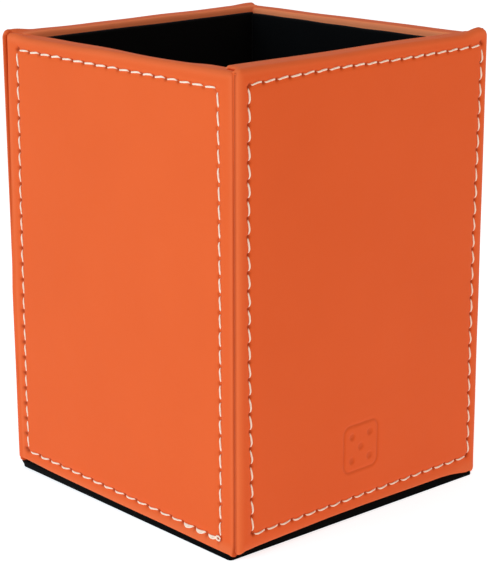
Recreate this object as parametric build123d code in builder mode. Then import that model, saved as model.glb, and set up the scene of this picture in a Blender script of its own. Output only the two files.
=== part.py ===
from build123d import *

import os

# A square, open-topped cup: four leatherette panels stitched to card, glued round a box of
# fibreboard and lined with black velvet, on a felted base. Millimetres, +Z up, origin on the table
# under the middle of the base. The front panel faces -Y. The front and back panels overlap the
# ends of the left and right ones.

# Whole cup
WIDTH = 80.0
FRONT_RIM = 108.4
SIDE_RIM = 107.7
PANEL_FOOT = 2.1

# Thicknesses of the layers in a wall, from outside to inside
LEATHER = 1.0
CARD = 0.6
BOARD = 3.5
LINING_CARD = 0.5
VELVET = 0.5

# Leather turned over the rim and the foot of a wall
TURNED_LEATHER = 0.9
TURN_IN_LENGTH = 9.0
END_RADIUS = 1.2
RIM_RADIUS = 0.8

# Stitching: a rectangle of running stitch on each panel, bedded level in a shallow channel
STITCH_PITCH = 3.95
STITCH_LENGTH = 2.9
THREAD_WIDTH = 0.5
CHANNEL_WIDTH = 0.8
CHANNEL_DEPTH = 0.3
STITCH_BELOW_RIM = 3.5
STITCH_ABOVE_FOOT = 3.1
LONG_STITCH_INSET = 3.1
SHORT_STITCH_INSET = 4.3

# Lining and base
LINING_BELOW_RIM = 1.9
BASE_WIDTH = 78.5
BASE_RADIUS = 2.5
BASE_TURN = -0.8
FELT = 0.5

# Depths below the outer face of a wall, and heights
PANEL_BACK = LEATHER + CARD
BOARD_BACK = PANEL_BACK + BOARD
CARD_BACK = BOARD_BACK + LINING_CARD
LINED_FACE = CARD_BACK + VELVET
BOARD_FOOT = PANEL_FOOT + TURNED_LEATHER
BOARD_TOP = SIDE_RIM - TURNED_LEATHER
FLOOR_TOP = PANEL_FOOT + BOARD
LINING_TOP = FRONT_RIM - LINING_BELOW_RIM

os.makedirs("parts", exist_ok=True)


def finish(part, name):
    """Label one finished piece and write it."""
    part.label = name
    export_step(part, f"parts/{name}.step")


class Wall:
    """One side of the cup. The long walls, front and back, run past the ends of the short ones."""

    def __init__(self, name, outward, is_long):
        self.name = name
        self.outward = outward
        self.right = Vector(0, 0, 1).cross(outward)
        self.middle = outward * (WIDTH / 2)
        self.rim = FRONT_RIM if is_long else SIDE_RIM
        self.panel_width = WIDTH if is_long else WIDTH - 2 * PANEL_BACK
        self.board_width = WIDTH - 2 * (PANEL_BACK if is_long else BOARD_BACK)
        self.card_width = WIDTH - 2 * (BOARD_BACK if is_long else CARD_BACK)
        self.velvet_width = WIDTH - 2 * (CARD_BACK if is_long else LINED_FACE)
        self.stitch_inset = LONG_STITCH_INSET if is_long else SHORT_STITCH_INSET

    def plan(self, height):
        """A level plane: x runs to the right as seen from outside, y inwards from the outer face."""
        return Plane(self.middle + Vector(0, 0, height), x_dir=self.right, z_dir=(0, 0, 1))

    def face(self, depth=0.0):
        """An upright plane at a depth under the outer face: x runs to the right, y up."""
        return Plane(self.middle - self.outward * depth, x_dir=self.right, z_dir=self.outward)


def slab(wall, width, depths, heights, mode=Mode.ADD):
    """Add a plain layer of a wall to the part being built, or take one away."""
    with BuildSketch(wall.plan(heights[0])) as layer:
        with Locations((0, depths[0])):
            Rectangle(width, depths[1] - depths[0], align=(Align.CENTER, Align.MIN))
    extrude(layer.sketch, amount=heights[1] - heights[0], mode=mode)


def build_core(wall):
    """Fibreboard wall, thinned along the top of its inner face where the leather is turned in."""
    with BuildPart() as core:
        slab(wall, wall.board_width, (PANEL_BACK, BOARD_BACK), (BOARD_FOOT, BOARD_TOP))
        slab(
            wall,
            WIDTH - 2 * BOARD_BACK,
            (BOARD_BACK - TURNED_LEATHER, BOARD_BACK),
            (BOARD_TOP - TURN_IN_LENGTH, BOARD_TOP),
            mode=Mode.SUBTRACT,
        )
    finish(core.part, f"core_{wall.name}")


def build_panel_card(wall):
    """Card that stiffens the leather and takes its stitching."""
    with BuildPart() as card:
        slab(wall, wall.panel_width - 2 * LEATHER, (LEATHER, PANEL_BACK), (BOARD_FOOT, BOARD_TOP))
    finish(card.part, f"panel_card_{wall.name}")


def build_cover(wall):
    """Leather of one panel: its stitched face and returned ends, the turn under the foot, the
    mitred fold over the rim, and the band turned down inside. It closes round card and board."""
    lip_width = WIDTH - 2 * BOARD_BACK
    stitched_height = wall.rim - STITCH_BELOW_RIM - PANEL_FOOT - STITCH_ABOVE_FOOT
    with BuildPart() as cover:
        slab(wall, wall.panel_width, (0, PANEL_BACK), (PANEL_FOOT, wall.rim))
        outer_face = cover.faces().sort_by(Axis((0, 0, 0), wall.outward))[-1]
        end_edges = outer_face.edges().filter_by(Axis.Z)
        fillet(end_edges, radius=END_RADIUS)
        slab(wall, wall.board_width, (PANEL_BACK, BOARD_BACK), (PANEL_FOOT, BOARD_FOOT))
        with BuildSketch(wall.plan(BOARD_TOP)):
            with BuildLine():
                Polyline(
                    (-WIDTH / 2 + PANEL_BACK, PANEL_BACK),
                    (WIDTH / 2 - PANEL_BACK, PANEL_BACK),
                    (lip_width / 2, BOARD_BACK),
                    (-lip_width / 2, BOARD_BACK),
                    close=True,
                )
            make_face()
        extrude(amount=wall.rim - BOARD_TOP)
        rim_edges = cover.edges().group_by(Axis.Z)[-1]
        long_edges = rim_edges.filter_by(Axis((0, 0, 0), wall.right)).sort_by(SortBy.LENGTH)[-2:]
        fillet(long_edges + rim_edges.filter_by(GeomType.CIRCLE), radius=RIM_RADIUS)
        slab(
            wall,
            lip_width,
            (BOARD_BACK - TURNED_LEATHER, BOARD_BACK),
            (BOARD_TOP - TURN_IN_LENGTH, BOARD_TOP),
        )
        slab(
            wall,
            wall.panel_width - 2 * LEATHER,
            (LEATHER, PANEL_BACK),
            (BOARD_FOOT, BOARD_TOP),
            mode=Mode.SUBTRACT,
        )
        with BuildSketch(wall.face()):
            with Locations((0, PANEL_FOOT + STITCH_ABOVE_FOOT + stitched_height / 2)):
                stitched_width = wall.panel_width - 2 * wall.stitch_inset
                Rectangle(stitched_width + CHANNEL_WIDTH, stitched_height + CHANNEL_WIDTH)
                Rectangle(
                    stitched_width - CHANNEL_WIDTH,
                    stitched_height - CHANNEL_WIDTH,
                    mode=Mode.SUBTRACT,
                )
        extrude(amount=-CHANNEL_DEPTH, mode=Mode.SUBTRACT)
    finish(cover.part, f"cover_{wall.name}")


def build_stitching(wall):
    """The visible stitches of one panel, each a separate bar of thread in the channel."""
    width = wall.panel_width - 2 * wall.stitch_inset
    height = wall.rim - STITCH_BELOW_RIM - PANEL_FOOT - STITCH_ABOVE_FOOT
    across = round(width / STITCH_PITCH)
    up = round(height / STITCH_PITCH)
    with BuildPart() as stitching:
        with BuildSketch(wall.face(CHANNEL_DEPTH)):
            with Locations((0, PANEL_FOOT + STITCH_ABOVE_FOOT + height / 2)):
                with GridLocations(width / across, height, across, 2):
                    SlotOverall(STITCH_LENGTH, THREAD_WIDTH)
                with GridLocations(width, height / up, 2, up):
                    SlotOverall(STITCH_LENGTH, THREAD_WIDTH, rotation=90)
        extrude(amount=CHANNEL_DEPTH)
    finish(stitching.part, f"stitching_{wall.name}")


def build_wall_lining(wall):
    """Card glued inside the board, and the velvet that covers it and wraps over its top edge."""
    with BuildPart() as card:
        slab(wall, wall.card_width, (BOARD_BACK, CARD_BACK), (FLOOR_TOP, LINING_TOP - VELVET))
    finish(card.part, f"lining_card_{wall.name}")
    with BuildPart() as velvet:
        slab(wall, wall.velvet_width, (CARD_BACK, LINED_FACE), (FLOOR_TOP, LINING_TOP))
        slab(wall, wall.velvet_width, (BOARD_BACK, CARD_BACK), (LINING_TOP - VELVET, LINING_TOP))
    finish(velvet.part, f"velvet_{wall.name}")


WALLS = [
    Wall("front", Vector(0, -1, 0), is_long=True),
    Wall("back", Vector(0, 1, 0), is_long=True),
    Wall("left", Vector(-1, 0, 0), is_long=False),
    Wall("right", Vector(1, 0, 0), is_long=False),
]
for wall in WALLS:
    build_core(wall)
    build_panel_card(wall)
    build_cover(wall)
    build_stitching(wall)
    build_wall_lining(wall)

# Floor of the cup: a board between the walls, with its own lining card and velvet on top.
with BuildPart() as core_floor:
    with BuildSketch(Plane.XY.offset(PANEL_FOOT)):
        Rectangle(WIDTH - 2 * BOARD_BACK, WIDTH - 2 * BOARD_BACK)
    extrude(amount=BOARD)
finish(core_floor.part, "core_floor")

with BuildPart() as lining_card_floor:
    with BuildSketch(Plane.XY.offset(FLOOR_TOP)):
        Rectangle(WIDTH - 2 * LINED_FACE, WIDTH - 2 * LINED_FACE)
    extrude(amount=LINING_CARD)
finish(lining_card_floor.part, "lining_card_floor")

with BuildPart() as velvet_floor:
    with BuildSketch(Plane.XY.offset(FLOOR_TOP + LINING_CARD)):
        Rectangle(WIDTH - 2 * LINED_FACE, WIDTH - 2 * LINED_FACE)
    extrude(amount=VELVET)
finish(velvet_floor.part, "velvet_floor")

# Base: a board in a tray of black felt, glued under the walls a little turned about the vertical.
base_plane = Plane.XY.rotated((0, 0, BASE_TURN))
with BuildPart() as base_felt:
    with BuildSketch(base_plane):
        RectangleRounded(BASE_WIDTH, BASE_WIDTH, BASE_RADIUS)
    extrude(amount=PANEL_FOOT)
    with BuildSketch(base_plane.offset(FELT)):
        RectangleRounded(BASE_WIDTH - 2 * FELT, BASE_WIDTH - 2 * FELT, BASE_RADIUS - FELT)
    extrude(amount=PANEL_FOOT, mode=Mode.SUBTRACT)
finish(base_felt.part, "base_felt")

with BuildPart() as base_board:
    with BuildSketch(base_plane.offset(FELT)):
        RectangleRounded(BASE_WIDTH - 2 * FELT, BASE_WIDTH - 2 * FELT, BASE_RADIUS - FELT)
    extrude(amount=PANEL_FOOT - FELT)
finish(base_board.part, "base_board")
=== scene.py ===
import math

import bmesh
import bpy
import numpy as np
from mathutils import Matrix, Vector


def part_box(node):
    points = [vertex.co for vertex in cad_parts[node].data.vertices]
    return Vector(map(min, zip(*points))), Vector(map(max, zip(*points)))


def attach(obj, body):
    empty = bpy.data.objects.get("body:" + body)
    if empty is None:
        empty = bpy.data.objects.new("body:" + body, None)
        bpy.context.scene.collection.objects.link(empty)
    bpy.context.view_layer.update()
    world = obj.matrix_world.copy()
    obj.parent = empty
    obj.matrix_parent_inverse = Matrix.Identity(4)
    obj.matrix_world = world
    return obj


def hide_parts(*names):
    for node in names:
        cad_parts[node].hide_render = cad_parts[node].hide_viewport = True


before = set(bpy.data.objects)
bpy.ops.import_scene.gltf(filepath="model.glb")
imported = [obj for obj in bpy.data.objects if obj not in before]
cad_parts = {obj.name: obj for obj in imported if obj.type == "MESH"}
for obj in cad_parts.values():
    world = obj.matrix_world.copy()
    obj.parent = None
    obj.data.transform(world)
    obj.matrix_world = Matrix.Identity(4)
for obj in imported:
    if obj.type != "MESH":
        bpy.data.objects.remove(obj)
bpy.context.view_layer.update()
scene = bpy.context.scene


# ---- Boards and cards -------------------------------------------------------------------------
# The hidden structure, kept as it comes: walls, floor and base of fibreboard about 3.5 mm thick,
# glued into a box, and grey card behind the stitched leather and the velvet.
MM = 0.001


def linear(code):
    """An sRGB hex colour as the linear values that shaders take."""
    parts = [int(code[i : i + 2], 16) / 255 for i in (1, 3, 5)]
    return [p / 12.92 if p <= 0.04045 else ((p + 0.055) / 1.055) ** 2.4 for p in parts] + [1.0]


def node(material, kind, inputs=None, **settings):
    """Add a node with its settings. An input is a value, or another node's output to link."""
    tree = material.node_tree
    made = tree.nodes.new(kind)
    for name, value in settings.items():
        setattr(made, name, value)
    for name, value in (inputs or {}).items():
        if isinstance(value, bpy.types.NodeSocket):
            tree.links.new(value, made.inputs[name])
        else:
            made.inputs[name].default_value = value
    return made


def new_material(name):
    """An empty node material, and its place in the cup in millimetres as a vector."""
    material = bpy.data.materials.new(name)
    material.use_nodes = True
    material.node_tree.nodes.clear()
    where = node(material, "ShaderNodeTexCoord")
    mm = node(
        material,
        "ShaderNodeVectorMath",
        {0: where.outputs["Object"], 1: (1 / MM,) * 3},
        operation="MULTIPLY",
    )
    return material, mm.outputs[0]


def finish_material(material, shader):
    """Link the finished shader to the material's surface."""
    node(material, "ShaderNodeOutputMaterial", {"Surface": shader.outputs[0]})


# Fibreboard: wood fibre pressed with resin, a dull brown with chips of about half a millimetre.
fibreboard, mm = new_material("fibreboard_raw")
chips = node(fibreboard, "ShaderNodeTexNoise", {"Vector": mm, "Scale": 1 / 0.5, "Detail": 8.0})
brown = node(
    fibreboard,
    "ShaderNodeMix",
    {0: chips.outputs["Fac"], 6: linear("#A88457"), 7: linear("#D0AE80")},
    data_type="RGBA",
)
board_gloss = node(
    fibreboard,
    "ShaderNodeMapRange",
    {"Value": chips.outputs["Fac"], "To Min": 0.7, "To Max": 0.9},
)
board_bump = node(
    fibreboard,
    "ShaderNodeBump",
    {"Strength": 0.3, "Distance": 0.05 * MM, "Height": chips.outputs["Fac"]},
)
board_shader = node(
    fibreboard,
    "ShaderNodeBsdfPrincipled",
    {
        "Base Color": brown.outputs[2],
        "Roughness": board_gloss.outputs[0],
        "Normal": board_bump.outputs[0],
    },
)
finish_material(fibreboard, board_shader)

# Grey card: pressed waste paper, matt, with flecks of about 1 mm.
grey_card, mm = new_material("card_grey")
flecks = node(grey_card, "ShaderNodeTexNoise", {"Vector": mm, "Scale": 1.0, "Detail": 7.0})
pulp = node(
    grey_card,
    "ShaderNodeMix",
    {0: flecks.outputs["Fac"], 6: linear("#847B6E"), 7: linear("#A89F90")},
    data_type="RGBA",
)
card_gloss = node(
    grey_card,
    "ShaderNodeMapRange",
    {"Value": flecks.outputs["Fac"], "To Min": 0.75, "To Max": 0.95},
)
card_bump = node(
    grey_card,
    "ShaderNodeBump",
    {"Strength": 0.2, "Distance": 0.03 * MM, "Height": flecks.outputs["Fac"]},
)
card_shader = node(
    grey_card,
    "ShaderNodeBsdfPrincipled",
    {
        "Base Color": pulp.outputs[2],
        "Roughness": card_gloss.outputs[0],
        "Normal": card_bump.outputs[0],
    },
)
finish_material(grey_card, card_shader)

for name, cad_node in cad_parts.items():
    if name.startswith("core") or name == "base_board":
        finish, slot = fibreboard, "fibreboard"
    elif "card" in name:
        finish, slot = grey_card, "card"
    else:
        continue
    cad_node.data.materials.clear()
    cad_node.data.materials.append(finish)


# ---- Leatherette panels -----------------------------------------------------------------------
# PU leatherette, about 0.9 mm thick, in orange. Each of the four panels is stitched flat to a card,
# its edges are turned and glued back, and its top is folded over the board and 10 mm down inside.
# The front and back panels run past the ends of the side ones. All of it is put together by hand.
HALF_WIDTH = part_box("cover_front")[1].x / MM
FRONT_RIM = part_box("cover_front")[1].z / MM
SIDE_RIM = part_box("cover_left")[1].z / MM
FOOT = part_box("cover_front")[0].z / MM
LIP_FACE = HALF_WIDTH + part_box("cover_left")[1].x / MM
PANEL_BACK = HALF_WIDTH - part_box("cover_left")[1].y / MM
LEATHER = 0.9

# The box is a little out of square and leans: how far each corner of its plan stands from its true
# place, at the foot and at the rim. Every piece outside the box follows it.
CORNER_LEAN = {
    (-1, -1): ((0.47, -0.75), (0.78, -1.26)),
    (-1, 1): ((-0.16, 0.01), (-0.51, 0.06)),
    (1, -1): ((-0.01, 0.26), (0.38, 0.06)),
    (1, 1): ((0.0, 0.0), (0.0, 0.0)),
}


def ease(value):
    """0 below 0, 1 above 1, and a smooth step between."""
    t = np.clip(value, 0, 1)
    return t * t * (3 - 2 * t)


class Wall:
    """One side of the cup, in millimetres: x to the right as seen from outside, depth inwards
    from the outer face, z up."""

    def __init__(self, name, outward, rim, half):
        self.name = name
        self.seed = sorted(("front", "back", "left", "right")).index(name)
        self.outward = np.array(outward, float)
        self.right = np.cross((0, 0, 1), self.outward)
        self.rim = rim
        self.half = half
        self.long = half == HALF_WIDTH
        self.board_half = HALF_WIDTH - (PANEL_BACK if self.long else LIP_FACE)

    def level(self, x, depth):
        """Plan positions of points given by x and depth."""
        along = np.outer(x, self.right[:2])
        return along + np.outer(HALF_WIDTH - depth, self.outward[:2])

    def lean(self, x, depth, z):
        """How far the cup's lean carries each point. Under the rim it dies away inside the lip."""
        plan = self.level(x, depth) / HALF_WIDTH
        up = np.clip(z / FRONT_RIM, 0, 1)[:, None]
        moved = np.zeros((len(x), 2))
        for (side_x, side_y), (low, high) in CORNER_LEAN.items():
            share = (1 + side_x * plan[:, 0]) * (1 + side_y * plan[:, 1]) / 4
            moved += share[:, None] * (np.array(low) * (1 - up) + np.array(high) * up)
        kept = 1 - ease((depth - PANEL_BACK) / (LIP_FACE - PANEL_BACK))
        return moved * kept[:, None]

    def place(self, x, depth, z, leaning=True):
        """Points in metres, in the row frame."""
        plan = self.level(x, depth)
        if leaning:
            plan = plan + self.lean(x, depth, z)
        return np.column_stack([plan, z]) * MM

    def past_end(self, x, reach):
        """0 inside the panel, rising to 1 at its ends over the last reach millimetres."""
        return ease((np.abs(x) - self.half + reach) / reach)


walls = {
    "front": Wall("front", (0, -1, 0), FRONT_RIM, HALF_WIDTH),
    "back": Wall("back", (0, 1, 0), FRONT_RIM, HALF_WIDTH),
    "left": Wall("left", (-1, 0, 0), SIDE_RIM, HALF_WIDTH - PANEL_BACK),
    "right": Wall("right", (1, 0, 0), SIDE_RIM, HALF_WIDTH - PANEL_BACK),
}


# One rectangle of machine lockstitch, sewn by eye about 3 to 4 mm inside the edges: the distance
# between needle holes, and how far the needle cuts each corner
STITCH_PITCH = 3.95
CORNER_CUT = 0.35
TOP_BOW_SHARE = 0.6

# Corners of the rectangles, as x from the panel's middle and height above the table; then how far
# the top line bows up, over that share of its length, and the right and left ones to the right
STITCH_CORNERS = {
    "front": ((-37.1, 104.9), (37.5, 105.3), (36.8, 4.9), (-36.0, 5.7), 0.4, -0.65, -0.55),
    "left": ((-33.8, 104.75), (33.45, 103.75), (33.6, 3.75), (-35.7, 5.6), 0.0, 0.3, -0.25),
    "back": ((-37.0, 105.1), (36.8, 104.9), (36.9, 5.2), (-36.7, 5.4), 0.3, -0.3, 0.3),
    "right": ((-34.2, 104.2), (34.0, 104.4), (34.3, 5.3), (-34.0, 5.1), 0.2, 0.2, 0.25),
}


def needle_holes(wall):
    """The needle holes of a panel in order, clockwise from the top left, with the corners cut."""
    *corners, bow_top, bow_right, bow_left = STITCH_CORNERS[wall.name]
    corners = np.array(corners)
    holes = []
    for i in range(4):
        start, end = corners[i], corners[(i + 1) % 4]
        run = (end - start) / np.linalg.norm(end - start)
        start, end = start + run * CORNER_CUT, end - run * CORNER_CUT
        count = round(np.linalg.norm(end - start) / STITCH_PITCH)
        t = np.linspace(0, 1, count + 1)[:, None]
        side = start * (1 - t) + end * t
        side[:, 0] += {1: bow_right, 3: bow_left}.get(i, 0) * np.sin(math.pi * t[:, 0])
        side[:, 1] += {0: bow_top}.get(i, 0) * np.sin(math.pi * np.minimum(t[:, 0] / TOP_BOW_SHARE, 1))
        holes.append(side)
    return np.concatenate(holes)


for wall in walls.values():
    wall.holes = needle_holes(wall)

# Radii of the leather's turned edges, and how far the fold reaches down inside
DEPTH_RADIUS = 1.25
RIM_RADIUS = 1.1
LIP_RADIUS = 0.6
FOOT_RADIUS = 0.5
MITRE_RADIUS = 0.8
LONG_END_RADIUS = 1.35
SHORT_END_RADIUS = 0.85
LIP_DEPTH = 9.9
# Relief of the face: the drop at its edges, the furrow along the stitching and the needle holes
EDGE_BAND = 3.4
EDGE_DROP = 0.12
SEAM_DEPTH = 0.14
SEAM_WIDTH = 0.75
HOLE_DEPTH = 0.42
HOLE_WIDTH = 0.42
FACE_SINK = 0.02
WAVE_DEPTH = 0.05
WAVE_LENGTH = 24
# The blind stamp near the foot of the front panel, the face of a die with five pips
MARK_CENTRE = (-1.6, 17.4)
MARK_HALF = 5.6
MARK_CORNER = 2.0
MARK_LINE = 0.5
PIP_PLACE = 2.9
PIP_RADIUS = 0.55
MARK_DEPTH = 0.2
# Spacing of the mesh: along the stitching and the stamp, elsewhere, and at its least
FINE_STEP = 0.28
COARSE_STEP = 1.1
LEAST_STEP = 0.16
STITCH_BAND = 12
STITCH_WANDER = 0.9

# Height of each panel's lower edge: places along the panel, and how high the edge hangs there
FOOT_LINE = {
    "front": (
        (-40, -38, -34, -12, 0, 20, 27, 31, 34, 36.5),
        (1.4, 2.05, 2.2, 2.45, 2.35, 1.9, 1.8, 1.5, 1.0, 0.3),
    ),
    "left": (
        (-38.4, -36, -29, -22, -15, 0, 14, 27, 36),
        (2.85, 2.7, 2.25, 2.0, 1.85, 1.55, 1.38, 1.06, 0.73),
    ),
    "back": ((-38, 0, 38), (1.8, 2.0, 2.0)),
    "right": ((-38, 0, 38), (1.7, 2.0, 2.1)),
}
# The foot hangs unevenly over this height, up to the stitching
FOOT_ZONE = 2.0
# How far the felt pushes the leather's foot out, at its left and right ends
FOOT_FLARE = {"front": (0.0, 0.5), "left": (0.0, 0.5), "back": (0.0, 0.0), "right": (0.0, 0.0)}
# The front and back folds lie over the side walls, a little narrower at their inner edge
FLAP_TAPER = 0.024
FLAP_SQUARE = 1.6
# How far the rim stands up at the left and right ends and all along, and over what length
EARS = {"front": (0.0, 1.0), "left": (0.6, 0.0), "back": (0.3, 0.7), "right": (0.0, 0.0)}
RIM_RISE = {"front": 0.0, "left": 0.0, "back": -0.2, "right": 0.08}
EAR_LENGTH = 9.0
EAR_FLAT = 2.5
EAR_HEIGHT = 14
# Corner radii of the panels' outline, left and right, at the rim and at the foot
TOP_CORNER = {"front": (1.2, 2.5), "left": (0.9, 0.9), "back": (2.6, 1.5), "right": (0.9, 0.9)}
FOOT_CORNER = {"front": (0.01, 1.7), "left": (0.6, 0.01), "back": (0.9, 0.35), "right": (0.6, 0.6)}
TOP_CORNER_HEIGHT = 7
# Small waves along the rim, and the tucks where the leather is gathered round a corner
RIM_WAVE = 0.1
RIM_WAVE_LENGTH = 17
TUCKS = 7
TUCK_DEPTH = 0.07
TUCK_REACH = 1.9
TUCK_CENTRE = (1.0, 1.4)
# The inner edge of the left rim was beaten flat over part of its length: how far down, and where
# along the panel the flat starts and ends, each with the distance it takes
RIM_SLOPE = {"left": 0.4}
SLOPE_START = (-15, 20)
SLOPE_END = (20, 10)
# Gap between the end of a side panel and the front or back one, and how dark the painted shade in
# the groove there is, at the left and right end of each panel
END_GAP = 0.08
GROOVE_SHADE = {"front": (0.5, 0.4), "left": (0.3, 0.5), "back": (0.4, 0.3), "right": (0.4, 0.4)}
# How far the left panel reaches past its end towards the back, at several heights, and how far it
# stands out where it laps over the back panel
SLIP_HEIGHTS = (46, 66, 83, 95, 104)
SLIP = (1.7, 0.7, 0.45, 0.05, -0.25)
LAP_LIFT = 0.2
# How strong the painted highlight is on the turned edges and the fold over the rim, and how wide it is
# on the face; and where the painted shade of the groove beside a side panel begins, under the face and
# before the end, and how it fades in
EDGE_HIGHLIGHT_WEIGHT = 0.25
EDGE_HIGHLIGHT_BAND = 2.2
GROOVE_UNDER = 0.75
GROOVE_BEFORE = 0.85
GROOVE_SOFT = 0.5


def ripple(seed, x, z, size):
    """A gentle unevenness from -1 to 1, with bumps about as large as size."""
    draw = np.random.default_rng(seed)
    total = np.zeros_like(x, dtype=float)
    for _ in range(7):
        angle, phase = draw.uniform(0, math.pi), draw.uniform(0, 2 * math.pi)
        length = size * draw.uniform(0.8, 2.2)
        across = x * math.cos(angle) + z * math.sin(angle)
        total += np.sin(2 * math.pi * across / length + phase)
    return total / 4


def grid(first, second, build):
    """A grid of points: build takes two arrays and returns the three coordinates."""
    a, b = np.meshgrid(first, second, indexing="ij")
    return np.stack(np.broadcast_arrays(*build(a, b)), -1).astype(float)


def spread(must, wanted, gap):
    """Places for grid lines: all that must be there, and the wanted ones with room beside them."""
    kept = sorted(must)
    low, high = kept[0], kept[-1]
    for place in sorted(wanted):
        if low < place < high and min(abs(place - k) for k in kept) >= gap:
            kept.append(place)
    return np.array(sorted(kept))


def weld(patches):
    """Join grids of points into one list of points and quads, sharing the points that meet."""
    stacked = np.concatenate([patch.reshape(-1, 3) for patch in patches])
    points, where = np.unique(np.round(stacked, 4), axis=0, return_inverse=True)
    where = where.reshape(-1)
    quads, start = [], 0
    for patch in patches:
        rows, columns = patch.shape[:2]
        index = where[start : start + rows * columns].reshape(rows, columns)
        start += rows * columns
        corners = [index[:-1, :-1], index[:-1, 1:], index[1:, 1:], index[1:, :-1]]
        quads.append(np.stack(corners, -1).reshape(-1, 4))
    return points, np.concatenate(quads)


def close_shell(quads, count):
    """Faces of a closed shell: the quads, the same ones count points on, and the edge between."""
    edges = np.concatenate([quads[:, [i, (i + 1) % 4]] for i in range(4)])
    sides = np.sort(edges, axis=1)
    _, first, uses = np.unique(sides, axis=0, return_index=True, return_counts=True)
    rim = edges[first[uses == 1]]
    band = np.column_stack([rim[:, 0], rim[:, 1], rim[:, 1] + count, rim[:, 0] + count])
    return np.concatenate([quads, quads[:, ::-1] + count, band])


def add_mesh(name, points, faces, material, weights=None):
    """A mesh object from points in metres, with a value for each point where weights are given."""
    mesh = bpy.data.meshes.new(name)
    mesh.from_pydata(np.asarray(points).tolist(), [], [list(f) for f in faces])
    for key, values in (weights or {}).items():
        attribute = mesh.attributes.new(key, "FLOAT", "POINT")
        attribute.data.foreach_set("value", np.asarray(values, np.float32))
    built = bmesh.new()
    built.from_mesh(mesh)
    bmesh.ops.recalc_face_normals(built, faces=built.faces)
    built.to_mesh(mesh)
    built.free()
    mesh.polygons.foreach_set("use_smooth", [True] * len(mesh.polygons))
    mesh.materials.append(material)
    made = bpy.data.objects.new(name, mesh)
    scene.collection.objects.link(made)
    return made


def seam_distance(wall, x, z):
    """Distance of each point from the line of stitching, and from the nearest needle hole."""
    line = np.full(len(x), 1e3)
    hole = np.full(len(x), 1e3)
    points = np.column_stack([x, z])
    following = np.roll(wall.holes, -1, axis=0)
    for start, end in zip(wall.holes, following):
        run = end - start
        t = np.clip((points - start) @ run / (run @ run), 0, 1)
        line = np.minimum(line, np.linalg.norm(points - start - t[:, None] * run, axis=1))
        hole = np.minimum(hole, np.linalg.norm(points - start, axis=1))
    return line, hole


def mark_profile(x, z):
    """The blind stamp, 0 to 1 deep: the face of a die with five pips."""
    x, z = np.abs(x - MARK_CENTRE[0]), np.abs(z - MARK_CENTRE[1])
    over = np.stack([x, z]) - (MARK_HALF - MARK_CORNER)
    outline = np.hypot(*np.maximum(over, 0)) + np.minimum(over.max(0), 0) - MARK_CORNER
    pips = np.minimum(np.hypot(x, z), np.hypot(x - PIP_PLACE, z - PIP_PLACE))
    line = 1 - ease(np.abs(outline) / MARK_LINE)
    return np.maximum(line, 1 - ease((pips - PIP_RADIUS) / MARK_LINE))


def face_depth(wall, x, z, seam):
    """How far the face of a panel lies under its flat plane, without the needle holes."""
    edge = np.minimum(wall.half - np.abs(x), np.minimum(wall.rim - z, z - FOOT))
    drop = EDGE_DROP * (1 - ease(edge / EDGE_BAND))
    furrow = SEAM_DEPTH * np.exp(-((seam / SEAM_WIDTH) ** 2))
    return drop + furrow + FACE_SINK + WAVE_DEPTH * ripple(wall.seed, x, z, WAVE_LENGTH)


def flap_half(wall, depth):
    """Half the width of the fold over the board: mitred on the side walls, full on the others."""
    if wall.long:
        over_board = (depth - PANEL_BACK) / (LIP_FACE - PANEL_BACK)
        return (HALF_WIDTH - PANEL_BACK) * (1 - FLAP_TAPER * over_board)
    return HALF_WIDTH - depth


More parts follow.
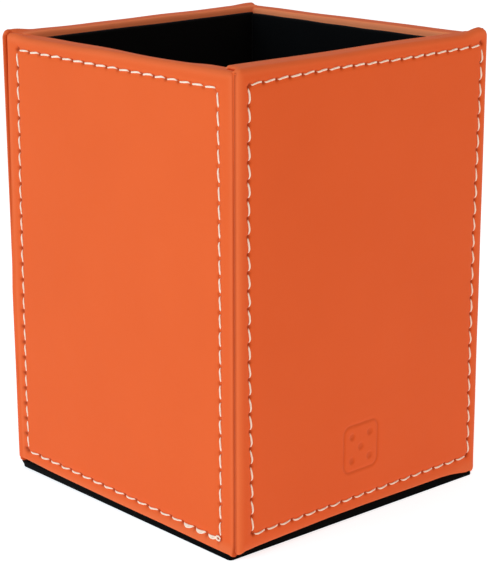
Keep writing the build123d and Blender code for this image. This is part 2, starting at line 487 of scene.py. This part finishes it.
def cover_patches(wall):
    """The panel as a box with sharp edges, in grids that are fine along the stitching."""
    x_holes, z_holes = wall.holes[:, 0], wall.holes[:, 1]
    upright = np.abs(x_holes) > wall.half - STITCH_BAND
    level = np.abs(x_holes) < wall.half - STITCH_BAND / 2
    fine = FINE_STEP * np.arange(-2, 3)
    x_want = [x + f for x in x_holes for f in fine]
    x_want += list(np.arange(-wall.half, wall.half, COARSE_STEP))
    z_want = [z + f for z in z_holes for f in fine]
    z_want += list(np.arange(FOOT, wall.rim, COARSE_STEP))
    for side in (-1, 1):
        line = x_holes[upright & (np.sign(x_holes) == side)]
        x_want += list(np.arange(line.min() - STITCH_WANDER, line.max() + STITCH_WANDER, FINE_STEP))
    for low, high in ((0, STITCH_BAND), (wall.rim - STITCH_BAND, wall.rim)):
        line = z_holes[(z_holes > low) & (z_holes < high) & level]
        z_want += list(np.arange(line.min() - STITCH_WANDER, line.max() + STITCH_WANDER, FINE_STEP))
    if wall.name == "front":
        marked = np.arange(-MARK_HALF - 0.8, MARK_HALF + 0.8, FINE_STEP)
        x_want += list(MARK_CENTRE[0] + marked)
        z_want += list(MARK_CENTRE[1] + marked)
    rolled = np.array([0, 0.18, 0.37, 0.58, 0.82, 1.1, 1.45, 1.9])
    breaks = {wall.board_half, min(wall.half, HALF_WIDTH - PANEL_BACK)}
    x_must = [s * b for b in breaks for s in (-1, 1)]
    x_must += list(wall.half - rolled) + list(rolled - wall.half)
    z_must = list(FOOT + rolled) + list(wall.rim - rolled)
    x_lines = spread(set(x_must), x_want, LEAST_STEP)
    z_lines = spread(z_must, z_want, LEAST_STEP)
    depths = np.array([0, 0.18, 0.38, 0.6, 0.85, DEPTH_RADIUS, PANEL_BACK])
    mitre_half = HALF_WIDTH - PANEL_BACK
    folded = x_lines[np.abs(x_lines) <= mitre_half + 1e-6]
    turned = x_lines[np.abs(x_lines) <= wall.board_half + 1e-6]
    round_lip = LIP_FACE - LIP_RADIUS * np.array([0.7, 0.4, 0.18, 0])
    over = np.append(np.linspace(PANEL_BACK, LIP_FACE - LIP_RADIUS, 12), round_lip)
    down = np.append([0, 0.2, 0.45, 0.75, 1.1], np.linspace(FLAP_SQUARE, LIP_DEPTH, 12))
    inside = wall.rim - down
    lip_share = (HALF_WIDTH - LIP_FACE) / mitre_half

    def flap(x, d):
        return x * flap_half(wall, d) / mitre_half, d, 0 * x + wall.rim

    def lip(x, z):
        share = lip_share
        if wall.long:
            share = share + (1 - FLAP_TAPER - share) * (1 - ease((wall.rim - z) / FLAP_SQUARE))
        return x * share, 0 * x + LIP_FACE, z

    patches = [
        grid(x_lines, z_lines, lambda x, z: (x, 0 * x, z)),
        grid(x_lines, depths, lambda x, d: (x, d, 0 * x + wall.rim)),
        grid(x_lines, depths, lambda x, d: (x, d, 0 * x + FOOT)),
        grid(folded, over, flap),
        grid(folded, inside, lip),
        grid(turned, np.linspace(PANEL_BACK, LIP_FACE, 6), lambda x, d: (x, d, 0 * x + FOOT)),
    ]
    for side in (-1, 1):
        patches.append(grid(depths, z_lines, lambda d, z: (0 * d + side * wall.half, d, z)))
    return patches


def rounded(wall, box, skin):
    """Pull the sharp box onto its rounded edges, skin millimetres under the outside. Returns x,
    depth and z, and the way each point faces."""
    x, depth, z = box.T
    end_radius = LONG_END_RADIUS if wall.long else SHORT_END_RADIUS
    foot = z < FOOT + 5
    behind = depth > PANEL_BACK + 1e-3
    folded = ~foot & (z > wall.rim - 0.1)
    back_half = np.where(folded, flap_half(wall, depth), 2 * HALF_WIDTH)
    half = np.where(behind, back_half, wall.half)
    radii = np.stack(
        [
            np.where(behind, MITRE_RADIUS, end_radius),
            np.where(depth > DEPTH_RADIUS + LIP_RADIUS, LIP_RADIUS, DEPTH_RADIUS),
            np.where(foot, FOOT_RADIUS, RIM_RADIUS),
        ]
    )
    centre = np.stack(
        [
            np.clip(x, radii[0] - half, half - radii[0]),
            np.clip(depth, DEPTH_RADIUS, LIP_FACE - LIP_RADIUS),
            np.clip(z, FOOT + FOOT_RADIUS, wall.rim - RIM_RADIUS),
        ]
    )
    away = (np.stack([x, depth, z]) - centre) / radii
    facing = away / np.maximum(np.linalg.norm(away, axis=0), 1e-6)
    return centre + facing * np.maximum(radii - skin, 0.06), facing


def corner_cut(wall, x, radii):
    """How much a panel's two rounded corners, left and right, take off its height at x."""
    radius = np.where(x < 0, *radii)
    past = np.clip(np.abs(x) - wall.half + radius, 0, radius)
    return radius - np.sqrt(radius**2 - past**2)


def shape_rim(wall, x, depth, z, in_panel):
    """Heights of the fold over the rim, with its ears, round corners, small waves and tucks."""
    ear_left, ear_right = EARS[wall.name]
    near_left = ease((-x - wall.half + EAR_LENGTH) / (EAR_LENGTH - EAR_FLAT))
    near_right = ease((x - wall.half + EAR_LENGTH) / (EAR_LENGTH - EAR_FLAT))
    ears = in_panel * (ear_left * near_left + ear_right * near_right)
    z = z + ease((z - wall.rim + EAR_HEIGHT) / EAR_HEIGHT) * (ears + RIM_RISE[wall.name])
    upper = ease((z - wall.rim + TOP_CORNER_HEIGHT) / TOP_CORNER_HEIGHT)
    z = z - corner_cut(wall, x, TOP_CORNER[wall.name]) * in_panel * upper
    on_rim = ease((z - wall.rim + 2) / 2)
    z = z + on_rim * RIM_WAVE * ripple(wall.seed + 10, x, depth, RIM_WAVE_LENGTH)
    across, inward = wall.half - TUCK_CENTRE[0] - np.abs(x), depth - TUCK_CENTRE[1]
    gathered = np.exp(-((np.hypot(across, inward) / TUCK_REACH) ** 2))
    tucks = np.sin(TUCKS * np.arctan2(inward, across) + wall.seed)
    z = z + on_rim * TUCK_DEPTH * tucks * gathered
    starts = ease((x - SLOPE_START[0]) / SLOPE_START[1])
    ends = ease((x - SLOPE_END[0]) / SLOPE_END[1])
    flattened = starts * (1 - ends) * ease((depth - PANEL_BACK) / 3)
    return z - on_rim * RIM_SLOPE.get(wall.name, 0) * flattened


def shape_foot(wall, x, depth, z):
    """Places of the turned lower edge: it hangs unevenly, and flares where the felt pushes it."""
    low = np.interp(x, *FOOT_LINE[wall.name])
    hanging = 1 - ease((depth - 1.1) / 0.6)
    cut = corner_cut(wall, x, FOOT_CORNER[wall.name])
    z = z + (low - FOOT) * hanging * (1 - ease((z - FOOT) / FOOT_ZONE))
    near_foot = 1 - ease((z - low) / (FOOT_ZONE + FOOT - low))
    z = z + cut * near_foot * hanging
    flare_left, flare_right = FOOT_FLARE[wall.name]
    flare = flare_left + (flare_right - flare_left) * ease((x + wall.half) / (2 * wall.half))
    depth = depth - flare * near_foot * (1 - ease(depth - 1.0))
    if wall.long:
        x = x - 1.1 * flare * near_foot * np.sign(x) * wall.past_end(x, 5)
    return x, depth, z


def shape_ends(wall, x, depth, z, in_panel):
    """Places of the side panels' ends, which meet the front and back panels. Also how dark the
    painted shade in the groove beside each end may be."""
    darkest = np.where(x < 0, *GROOVE_SHADE[wall.name])
    if not wall.long:
        x = x - END_GAP * np.sign(x) * wall.past_end(x, 3) * in_panel
    if wall.name == "left":
        slip = np.interp(z, SLIP_HEIGHTS, SLIP)
        lapping = ease((slip - 0.3) / 0.8) * (x < 0)
        lifted = ease((-x - wall.half + 3) / 3) * (1 - ease((depth - 0.6) / 0.8))
        depth = depth - LAP_LIFT * lapping * lifted
        darkest = darkest * (1 - lapping)
        x = x - slip * ease((-x - wall.half + 5) / 5) * in_panel
    return x, depth, darkest


def build_cover(wall, material):
    """Leather of one panel: the outside with its relief, and the side glued to card and board."""
    points, quads = weld(cover_patches(wall))
    (x, depth, z), facing = rounded(wall, points, 0)
    (x_in, depth_in, z_in), _ = rounded(wall, points, LEATHER)
    seam, hole = seam_distance(wall, x, z)
    on_face = ease(-facing[1])
    needle = np.exp(-((hole / HOLE_WIDTH) ** 2)) * on_face
    pressed = mark_profile(x, z) * on_face if wall.name == "front" else 0 * x
    depth = depth + on_face * face_depth(wall, x, z, seam)
    depth = depth + HOLE_DEPTH * needle + MARK_DEPTH * pressed
    in_panel = 1 - ease((depth - PANEL_BACK) / 1.6)
    z = shape_rim(wall, x, depth, z, in_panel)
    x, depth, z = shape_foot(wall, x, depth, z)
    x, depth, darkest = shape_ends(wall, x, depth, z, in_panel)

    # Colour weights: a painted highlight along the turned edges and over the fold, and painted light over
    # the inner lip
    edge = np.minimum(wall.half - np.abs(x), np.minimum(wall.rim - z, z - FOOT))
    rolled = np.where(on_face > 0.5, EDGE_HIGHLIGHT_WEIGHT * (1 - ease(edge / EDGE_HIGHLIGHT_BAND)), EDGE_HIGHLIGHT_WEIGHT)
    in_lip = ease((depth - LIP_FACE + 0.9) / 0.6) * (z > wall.rim - LIP_DEPTH - 1)
    rolled = np.maximum(rolled, in_lip)
    at_end = ease((np.abs(x_in) - wall.half + 1.05) / 0.1)
    if wall.long:
        groove = ease((depth - GROOVE_UNDER) / GROOVE_SOFT) * at_end * (z < wall.rim - 0.5)
    else:
        groove = ease((np.abs(x) - wall.half + GROOVE_BEFORE) / GROOVE_SOFT) * in_panel
    # Painted shade in the needle holes and in the groove at the panel ends
    shade = np.maximum(needle, darkest * groove)
    rolled = rolled * (1 - groove)

    outer = wall.place(x, depth, z)
    inner = wall.place(x_in, depth_in, z_in, leaning=False)
    if wall.long:
        outwards = wall.lean(x_in, depth_in, z_in) @ wall.outward[:2]
        inner += np.outer(at_end * outwards, wall.outward) * MM
    weights = {"shade": shade, "pressed": pressed, "rolled": rolled}
    made = add_mesh(
        f"leather_{wall.name}",
        np.concatenate([outer, inner]),
        close_shell(quads, len(points)),
        material,
        {key: np.append(values, 0 * x) for key, values in weights.items()},
    )
    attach(made, "root")
    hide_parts(f"cover_{wall.name}")


# PU leatherette: a skin of orange polyurethane embossed with a fine calf grain of about 0.5 mm.
# Satin, with a painted highlight on the turned edges and the rim fold and painted light on the inner
# lip, painted shade in the needle holes and the grooves at the panel ends, and darker in the stamp.
leatherette, mm = new_material("leatherette_orange")
GRAIN_MM = 0.55
cells = node(
    leatherette,
    "ShaderNodeTexVoronoi",
    {"Vector": mm, "Scale": 1 / GRAIN_MM},
    feature="SMOOTH_F1",
)
creases = node(leatherette, "ShaderNodeTexNoise", {"Vector": mm, "Scale": 1 / 1.7, "Detail": 6.0})
cloud = node(leatherette, "ShaderNodeTexNoise", {"Vector": mm, "Scale": 1 / 26, "Detail": 3.0})
tone = node(
    leatherette,
    "ShaderNodeMix",
    {0: cloud.outputs["Fac"], 6: linear("#E85A1D"), 7: linear("#EF6023")},
    data_type="RGBA",
)
# Painted light and shade in the colour: rolled is a painted highlight on the edges and painted light on the
# inner lip, shade is painted shade in needle holes and grooves
rolled = node(leatherette, "ShaderNodeAttribute", attribute_name="rolled")
shade = node(leatherette, "ShaderNodeAttribute", attribute_name="shade")
pressed = node(leatherette, "ShaderNodeAttribute", attribute_name="pressed")
painted_edge_light = node(
    leatherette,
    "ShaderNodeMix",
    {0: rolled.outputs["Fac"], 6: tone.outputs[2], 7: linear("#FF8C58")},
    data_type="RGBA",
)
dent = node(
    leatherette,
    "ShaderNodeMath",
    {0: pressed.outputs["Fac"], 1: 0.22},
    operation="MULTIPLY",
)
dark = node(
    leatherette,
    "ShaderNodeMath",
    {0: shade.outputs["Fac"], 1: dent.outputs[0]},
    operation="MAXIMUM",
)
skin = node(
    leatherette,
    "ShaderNodeMix",
    {0: dark.outputs[0], 6: painted_edge_light.outputs[2], 7: linear("#A03404")},
    data_type="RGBA",
)
gloss = node(
    leatherette,
    "ShaderNodeMapRange",
    {"Value": creases.outputs["Fac"], "To Min": 0.5, "To Max": 0.64},
)
grain_height = node(
    leatherette,
    "ShaderNodeMath",
    {0: cells.outputs["Distance"], 1: creases.outputs["Fac"]},
    operation="ADD",
)
grain = node(
    leatherette,
    "ShaderNodeBump",
    {"Strength": 0.22, "Distance": 0.05 * MM, "Height": grain_height.outputs[0]},
)
leather_shader = node(
    leatherette,
    "ShaderNodeBsdfPrincipled",
    {
        "Base Color": skin.outputs[2],
        "Roughness": gloss.outputs[0],
        "IOR": 1.49,
        "Specular IOR Level": 0.17,
        "Normal": grain.outputs[0],
    },
)
finish_material(leatherette, leather_shader)

for wall in walls.values():
    build_cover(wall, leatherette)


# ---- Thread -----------------------------------------------------------------------------------
# Cream polyester, three plies twisted to about 0.45 mm. Each stitch lies over the leather and dives
# into a needle hole at both ends, and lies a little askew, as a lockstitch does.
THREAD_RADIUS = 0.215
PLIES = 3
PLY_RELIEF = 0.13
STITCH_RINGS = 15
STITCH_SIDES = 15
# How high a stitch stands and how deep it starts; how far a second one beside it stands and lies
STITCH_LIFT = 0.42
STITCH_SINK = 0.3
SECOND_LIFT = 0.5
SECOND_ASIDE = 0.45
KNOT_RADIUS = 0.62
KNOT_OFFSET = (-0.35, 0.2)


def tube(centres, radii, outward, twist):
    """Rings of points round a thread of three plies that follows the centres."""
    run = np.gradient(centres, axis=0)
    run /= np.linalg.norm(run, axis=1)[:, None]
    side = np.cross(run, outward)
    side /= np.linalg.norm(side, axis=1)[:, None]
    up = np.cross(side, run)
    angle = np.linspace(0, 2 * math.pi, STITCH_SIDES, endpoint=False)
    t = np.linspace(0, 1, len(centres))[:, None]
    lobes = 1 + PLY_RELIEF * np.cos(PLIES * angle[None, :] - twist * t)
    size = radii[:, None] * lobes
    return (
        centres[:, None, :]
        + (size * np.cos(angle))[..., None] * side[:, None, :]
        + (size * np.sin(angle) * 0.85)[..., None] * up[:, None, :]
    )


def thread_faces(rings, start):
    """Quads round a tube of rings, with a fan of triangles over each end."""
    count, sides = rings.shape[:2]
    index = start + np.arange(count * sides).reshape(count, sides)
    turned = np.roll(index, -1, axis=1)
    quads = np.stack([index[:-1], turned[:-1], turned[1:], index[1:]], -1).reshape(-1, 4)
    return quads.tolist() + [index[0][::-1].tolist(), index[-1].tolist()]


def build_stitching(wall, material):
    """All the stitches of a panel, one piece of thread from hole to hole."""
    draw = np.random.default_rng(20 + wall.seed)
    t = np.linspace(0, 1, STITCH_RINGS)
    arc = np.sin(math.pi * t)
    points, faces, start = [], [], 0

    def add(line, lift, radii, twist):
        nonlocal start
        x, z = line.T
        seam, _ = seam_distance(wall, x, z)
        centres = wall.place(x, face_depth(wall, x, z, seam) - lift, z)
        rings = tube(centres, radii * MM, wall.outward, twist)
        points.append(rings.reshape(-1, 3))
        faces.extend(thread_faces(rings, start))
        start += rings.shape[0] * rings.shape[1]

    def stitch(begin, end, lift, aside):
        run = (end - begin) / np.linalg.norm(end - begin)
        across = np.array([-run[1], run[0]])
        slant = draw.normal(0.24, 0.04)
        bow = draw.normal(0.13, 0.04) * (-1 if run[1] > 0.7 else 1) + aside
        line = begin + np.outer(0.1 + 0.8 * t, end - begin)
        line += np.outer(slant * (2 * t - 1) * arc**0.5 + bow * arc, across)
        radii = THREAD_RADIUS * (0.55 + 0.45 * arc**0.5) * draw.normal(1, 0.04) * (0.93 + 0.14 * t)
        add(line, lift * arc**0.45 - STITCH_SINK, radii, draw.uniform(9, 12))

    holes = wall.holes
    following = np.roll(holes, -1, axis=0)
    for begin, end in zip(holes, following):
        if np.linalg.norm(end - begin) > 2 * CORNER_CUT:
            stitch(begin, end, STITCH_LIFT, 0)
    if wall.name == "left":
        # The seam starts and ends here, so its last stitches are sewn twice and knotted
        lowest = np.where(holes[:, 1] < 8)[0]
        for i in lowest[1:4]:
            stitch(holes[i], following[i], SECOND_LIFT, SECOND_ASIDE)
        knot_at = np.array(STITCH_CORNERS["left"][2]) + KNOT_OFFSET
        turn = np.linspace(0, 1.85 * math.pi, 26)
        loop = knot_at + KNOT_RADIUS * np.column_stack([np.cos(turn), 0.8 * np.sin(turn)])
        add(loop, STITCH_SINK, np.full(len(turn), THREAD_RADIUS * 0.95), 14)

    made = add_mesh(f"thread_{wall.name}", np.concatenate(points), faces, material)
    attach(made, "root")
    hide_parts(f"stitching_{wall.name}")


# Polyester sewing thread: matt with a soft sheen, its filaments far finer than shows, so they are
# drawn as coarser streaks of about 0.16 mm.
STREAK_MM = 0.16
sewing_thread, mm = new_material("sewing_thread_cream")
filaments = node(sewing_thread, "ShaderNodeTexNoise", {"Vector": mm, "Scale": 1 / STREAK_MM, "Detail": 3.0})
cream = node(
    sewing_thread,
    "ShaderNodeMix",
    {0: filaments.outputs["Fac"], 6: linear("#FFD6B2"), 7: linear("#FFF0DC")},
    data_type="RGBA",
)
fuzz = node(
    sewing_thread,
    "ShaderNodeMapRange",
    {"Value": filaments.outputs["Fac"], "To Min": 0.6, "To Max": 0.85},
)
ply_bump = node(
    sewing_thread,
    "ShaderNodeBump",
    {"Strength": 0.5, "Distance": 0.03 * MM, "Height": filaments.outputs["Fac"]},
)
thread_shader = node(
    sewing_thread,
    "ShaderNodeBsdfPrincipled",
    {
        "Base Color": cream.outputs[2],
        "Roughness": fuzz.outputs[0],
        "Sheen Weight": 0.25,
        "Normal": ply_bump.outputs[0],
    },
)
finish_material(sewing_thread, thread_shader)

for wall in walls.values():
    build_stitching(wall, sewing_thread)


# ---- Velvet lining ----------------------------------------------------------------------------
# Black short-pile velvet, half a millimetre thick, glued to thin card. Four pieces line the walls
# and wrap over the card's top edge, about 1.8 mm under the rim, and a fifth covers the floor.
VELVET = 0.5
LINED_FACE = HALF_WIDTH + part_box("velvet_left")[1].x / MM
LINING_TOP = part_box("velvet_front")[1].z / MM
LINING_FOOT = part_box("velvet_front")[0].z / MM
FLOOR_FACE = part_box("velvet_floor")[1].z / MM
VELVET_ROLL = 0.56
PILE_WAVE = 0.1
TOP_WAVE = 0.08
# How far the top of the velvet stands off its true height, at the left and right end of each wall
VELVET_RISE = {
    "front": (0.0, 0.0),
    "left": (-0.32, -0.32),
    "back": (0.2, 0.2),
    "right": (-0.32, -0.1),
}


def build_velvet(wall, material):
    """Velvet of one wall: its face, the roll over the card's edge, and the glued side."""
    half = (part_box(f"velvet_{wall.name}")[1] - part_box(f"velvet_{wall.name}")[0]) / MM / 2
    half = half.x if wall.long else half.y
    rise_left, rise_right = VELVET_RISE[wall.name]
    top = LINING_TOP + min(rise_left, rise_right)
    middle = np.linspace(-half + 0.7, half - 0.7, 64)
    x_lines = np.concatenate([[-half, -half + 0.25], middle, [half - 0.25, half]])
    near_top = top - np.array([0.8, 0.56, 0.4, 0.22, 0.1, 0])
    z_lines = np.append(np.linspace(LINING_FOOT, top - 1.2, 84), near_top)
    near_face = LINED_FACE - np.array([0.4, 0.22, 0.1, 0])
    depths = np.append(np.linspace(LIP_FACE, LINED_FACE - VELVET_ROLL, 4), near_face)
    patches = [
        grid(x_lines, z_lines, lambda x, z: (x, 0 * x + LINED_FACE, z)),
        grid(x_lines, depths, lambda x, d: (x, d, 0 * x + top)),
    ]
    points, quads = weld(patches)
    x, depth, z = points.T
    centre_depth = np.minimum(depth, LINED_FACE - VELVET_ROLL)
    centre_z = np.minimum(z, top - VELVET_ROLL)
    away = np.stack([depth - centre_depth, z - centre_z])
    facing = away / np.maximum(np.linalg.norm(away, axis=0), 1e-6)
    seed = 40 + wall.seed
    soft = PILE_WAVE * ripple(seed, x, z, 9) * ease((top - z) / 6) * ease((half - np.abs(x)) / 4)
    tilt = np.interp(x, (-half, half), (rise_left, rise_right)) - min(rise_left, rise_right)
    rise = (tilt + TOP_WAVE * ripple(seed + 5, x, 0 * x, 12)) * ease((z - top + 4) / 4)
    outer_depth = centre_depth + VELVET_ROLL * facing[0] + soft * facing[0]
    outer_z = centre_z + VELVET_ROLL * facing[1] + rise
    inner_depth = centre_depth + (VELVET_ROLL - VELVET) * facing[0]
    inner_z = centre_z + (VELVET_ROLL - VELVET) * facing[1] + rise
    meets_lip = (1 - ease((depth - LIP_FACE) / 0.5))[:, None]
    moved = wall.lean(x, depth, 0 * x + wall.rim) * meets_lip * MM
    outer = wall.place(x, outer_depth, outer_z, leaning=False)
    inner = wall.place(x, inner_depth, inner_z, leaning=False)
    outer[:, :2] += moved
    inner[:, :2] += moved
    made = add_mesh(
        f"velvet_lining_{wall.name}",
        np.concatenate([outer, inner]),
        close_shell(quads, len(points)),
        material,
    )
    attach(made, "root")
    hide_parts(f"velvet_{wall.name}")


def build_velvet_floor(material):
    """The square of velvet on the floor of the cup, a little raised where the walls crowd it."""
    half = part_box("velvet_floor")[1].x / MM
    middle = np.linspace(-half + 0.8, half - 0.8, 60)
    lines = np.concatenate([[-half, -half + 0.3], middle, [half - 0.3, half]])
    points, quads = weld([grid(lines, lines, lambda x, y: (x, y, 0 * x + FLOOR_FACE))])
    x, y, z = points.T
    edge = half - np.maximum(np.abs(x), np.abs(y))
    raised = z + 0.18 * (1 - ease(edge / 5)) + 0.07 * ripple(51, x, y, 11)
    under = np.column_stack([x, y, z - VELVET])
    made = add_mesh(
        "velvet_lining_floor",
        np.concatenate([np.column_stack([x, y, raised]), under]) * MM,
        close_shell(quads, len(points)),
        material,
    )
    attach(made, "root")
    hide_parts("velvet_floor")


# Velvet: upright pile that takes in nearly all light and shows a faint sheen when seen aslant. The
# pile leans this way and that over a few millimetres, and its tufts are about 0.25 mm.
black_velvet, mm = new_material("velvet_black")
tufts = node(black_velvet, "ShaderNodeTexNoise", {"Vector": mm, "Scale": 1 / 0.25, "Detail": 2.0})
nap = node(black_velvet, "ShaderNodeTexNoise", {"Vector": mm, "Scale": 1 / 7, "Detail": 3.0})
pile = node(
    black_velvet,
    "ShaderNodeMix",
    {0: nap.outputs["Fac"], 6: linear("#020202"), 7: linear("#060505")},
    data_type="RGBA",
)
pile_gloss = node(
    black_velvet,
    "ShaderNodeMapRange",
    {"Value": nap.outputs["Fac"], "To Min": 0.85, "To Max": 1.0},
)
pile_bump = node(
    black_velvet,
    "ShaderNodeBump",
    {"Strength": 0.6, "Distance": 0.12 * MM, "Height": tufts.outputs["Fac"]},
)
velvet_shader = node(
    black_velvet,
    "ShaderNodeBsdfPrincipled",
    {
        "Base Color": pile.outputs[2],
        "Roughness": pile_gloss.outputs[0],
        "Specular IOR Level": 0.1,
        "Sheen Weight": 0.06,
        "Sheen Roughness": 0.35,
        "Normal": pile_bump.outputs[0],
    },
)
finish_material(black_velvet, velvet_shader)

for wall in walls.values():
    build_velvet(wall, black_velvet)
build_velvet_floor(black_velvet)


# ---- Felted base ------------------------------------------------------------------------------
# A thin board in a tray of black pressed felt, turned up round its edge, glued under the walls. It
# is a little smaller than the cup and was glued on slightly askew.
FELT = 0.5
BASE_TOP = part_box("base_felt")[1].z / MM
BASE_HALF = 39.6
BASE_RADIUS = 1.1
FRAY = 0.0018
# Corners of the tray on the table, and how far each leans in or out by the tray's top
BASE_CORNERS = {
    (-1, -1): ((-40.3, -38.5), (0.75, 0.0)),
    (1, -1): ((38.0, -40.55), (0.3, 0.9)),
    (1, 1): ((40.0, 39.6), (-0.2, -0.2)),
    (-1, 1): ((-38.9, 39.8), (-0.6, 0.5)),
}
CORNER_STEPS = 9
SIDE_STEPS = 40


def rounded_square(half, radius):
    """Points round a square with rounded corners."""
    radius = min(radius, half)
    outline = []
    for quarter in range(4):
        start = quarter * math.pi / 2
        ahead = np.array([math.cos(start), math.sin(start)])
        aside = np.array([-math.sin(start), math.cos(start)])
        angles = start + np.linspace(0, math.pi / 2, CORNER_STEPS)
        middle = (half - radius) * (ahead + aside)
        arc = middle + radius * np.column_stack([np.cos(angles), np.sin(angles)])
        run = -2 * (half - radius) * ahead
        straight = arc[-1] + np.outer(np.linspace(0, 1, SIDE_STEPS + 1)[1:-1], run)
        outline += [arc, straight]
    return np.concatenate(outline)


def build_base_felt(material):
    """The felt tray as rings of points, from the middle of its underside out, up and back in."""
    rings = []
    for inset in np.append(np.linspace(BASE_HALF - 0.6, 1.2, 30), [0.8, 0.5, 0.25]):
        rings.append((inset, 0.0))
    rings += [(0.11, 0.06), (0.03, 0.16), (0.0, 0.32)]
    rings += [(0.0, h) for h in np.linspace(0.6, BASE_TOP - 0.2, 5)]
    rings += [(0.06, BASE_TOP - 0.06), (0.2, BASE_TOP), (FELT - 0.05, BASE_TOP - 0.02)]
    rings += [(FELT, BASE_TOP - 0.15), (FELT, 1.2), (FELT, FELT + 0.2), (FELT + 0.2, FELT)]
    rings += [(inset, FELT) for inset in np.linspace(1.6, BASE_HALF - 0.6, 12)]
    loops = []
    for inset, height in rings:
        loop = rounded_square(BASE_HALF - inset, max(BASE_RADIUS - inset, 0.3))
        loops.append(np.column_stack([loop, np.full(len(loop), height)]))
    stack = np.array(loops)
    x, y, z = stack.reshape(-1, 3).T
    in_side = np.array([inset < FELT / 2 for inset, _ in rings]).repeat(stack.shape[1])
    along = np.arctan2(y, x) * BASE_HALF
    frayed = ease((z - 0.05) / 0.3) * in_side * FRAY * ripple(61, along, 4 * z, 2.5)
    scale = (1 + frayed) / BASE_HALF
    plan = np.zeros((len(x), 2))
    for (side_x, side_y), (corner, leans) in BASE_CORNERS.items():
        share = (1 + side_x * x * scale) * (1 + side_y * y * scale) / 4
        plan += share[:, None] * (np.array(corner) + np.outer(np.minimum(z / BASE_TOP, 1), leans))
    points = np.column_stack([plan, z]) * MM
    count, around = stack.shape[:2]
    index = np.arange(count * around).reshape(count, around)
    turned = np.roll(index, -1, axis=1)
    quads = np.stack([index[:-1], turned[:-1], turned[1:], index[1:]], -1).reshape(-1, 4)
    faces = quads.tolist() + [index[0][::-1].tolist(), index[-1].tolist()]
    made = add_mesh("felt_base", points, faces, material)
    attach(made, "root")
    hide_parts("base_felt")


# Pressed felt: short matted fibres of black wool, dull, with lint-fine relief of about 0.2 mm.
black_felt, mm = new_material("felt_black")
fibres = node(black_felt, "ShaderNodeTexNoise", {"Vector": mm, "Scale": 1 / 0.35, "Detail": 6.0})
mats = node(black_felt, "ShaderNodeTexNoise", {"Vector": mm, "Scale": 1 / 3.5, "Detail": 3.0})
wool = node(
    black_felt,
    "ShaderNodeMix",
    {0: fibres.outputs["Fac"], 6: linear("#010101"), 7: linear("#060606")},
    data_type="RGBA",
)
dull = node(
    black_felt,
    "ShaderNodeMapRange",
    {"Value": mats.outputs["Fac"], "To Min": 0.88, "To Max": 1.0},
)
fibre_bump = node(
    black_felt,
    "ShaderNodeBump",
    {"Strength": 0.7, "Distance": 0.1 * MM, "Height": fibres.outputs["Fac"]},
)
felt_shader = node(
    black_felt,
    "ShaderNodeBsdfPrincipled",
    {
        "Base Color": wool.outputs[2],
        "Roughness": dull.outputs[0],
        "Specular IOR Level": 0.05,
        "Sheen Weight": 0.02,
        "Normal": fibre_bump.outputs[0],
    },
)
finish_material(black_felt, felt_shader)

build_base_felt(black_felt)


# ---- Table, light and camera ------------------------------------------------------------------
# A white studio table under soft light: a broad lamp to the left, weaker ones at the front right and
# overhead, and an even white surround.
TABLE_HALF = 4.0
table_white, mm = new_material("table_white")
haze = node(table_white, "ShaderNodeTexNoise", {"Vector": mm, "Scale": 1 / 300, "Detail": 2.0})
paint = node(
    table_white,
    "ShaderNodeMix",
    {0: haze.outputs["Fac"], 6: linear("#CACACA"), 7: linear("#D2D2D2")},
    data_type="RGBA",
)
table_shader = node(
    table_white,
    "ShaderNodeBsdfPrincipled",
    {
        "Base Color": paint.outputs[2],
        "Roughness": 0.9,
        "Specular IOR Level": 0.1,
        "Emission Color": (0.93, 0.98, 1.0, 1.0),
        "Emission Strength": 0.78,
    },
)
finish_material(table_white, table_shader)
lines = np.linspace(-TABLE_HALF, TABLE_HALF, 9) / MM
table_points, table_quads = weld([grid(lines, lines, lambda x, y: (x, y, 0 * x))])
table = add_mesh("table", table_points * MM, table_quads, table_white)

world = bpy.data.worlds.new("studio")
scene.world = world
world.use_nodes = True
world.node_tree.nodes["Background"].inputs["Color"].default_value = (1.0, 0.95, 0.9, 1.0)
world.node_tree.nodes["Background"].inputs["Strength"].default_value = 0.42


def add_lamp(name, place, size, watts, colour):
    """A square soft lamp aimed at the middle of the cup."""
    lamp = bpy.data.lights.new(name, "AREA")
    lamp.size = size
    lamp.energy = watts
    lamp.color = colour
    made = bpy.data.objects.new(name, lamp)
    made.location = place
    aim = Vector((0, 0, 0.05)) - made.location
    made.rotation_euler = aim.to_track_quat("-Z", "Y").to_euler()
    scene.collection.objects.link(made)


add_lamp("lamp_left", (-1.35, 0.25, 0.55), 0.9, 6.2, (0.86, 1.38, 1.8))
add_lamp("lamp_front", (0.35, -1.4, 0.7), 0.9, 2.0, (0.95, 0.7, 0.6))
add_lamp("lamp_top", (0.1, 0.2, 1.5), 1.2, 2.5, (1.0, 1.0, 1.0))

CAMERA_AZIMUTH = math.radians(-42.512)
CAMERA_ELEVATION = math.radians(15.448)
CAMERA_ROLL = math.radians(-0.332)
CAMERA_DISTANCE = 0.4415
CAMERA_AIM = Vector((-0.004456, -0.004727, 0.05))
back = Vector(
    (
        math.sin(CAMERA_AZIMUTH) * math.cos(CAMERA_ELEVATION),
        -math.cos(CAMERA_AZIMUTH) * math.cos(CAMERA_ELEVATION),
        math.sin(CAMERA_ELEVATION),
    )
)
level_right = Vector((math.cos(CAMERA_AZIMUTH), math.sin(CAMERA_AZIMUTH), 0))
level_up = back.cross(level_right)
right = level_right * math.cos(CAMERA_ROLL) + level_up * math.sin(CAMERA_ROLL)
up = back.cross(right)
lens = bpy.data.cameras.new("camera")
lens.lens = 119.16
lens.sensor_width = 36.0
lens.clip_start = 0.01
camera = bpy.data.objects.new("camera", lens)
camera.matrix_world = Matrix.Translation(CAMERA_AIM + back * CAMERA_DISTANCE) @ Matrix(
    (right, up, back)
).transposed().to_4x4()
scene.collection.objects.link(camera)
scene.camera = camera
scene.view_settings.view_transform = "Standard"
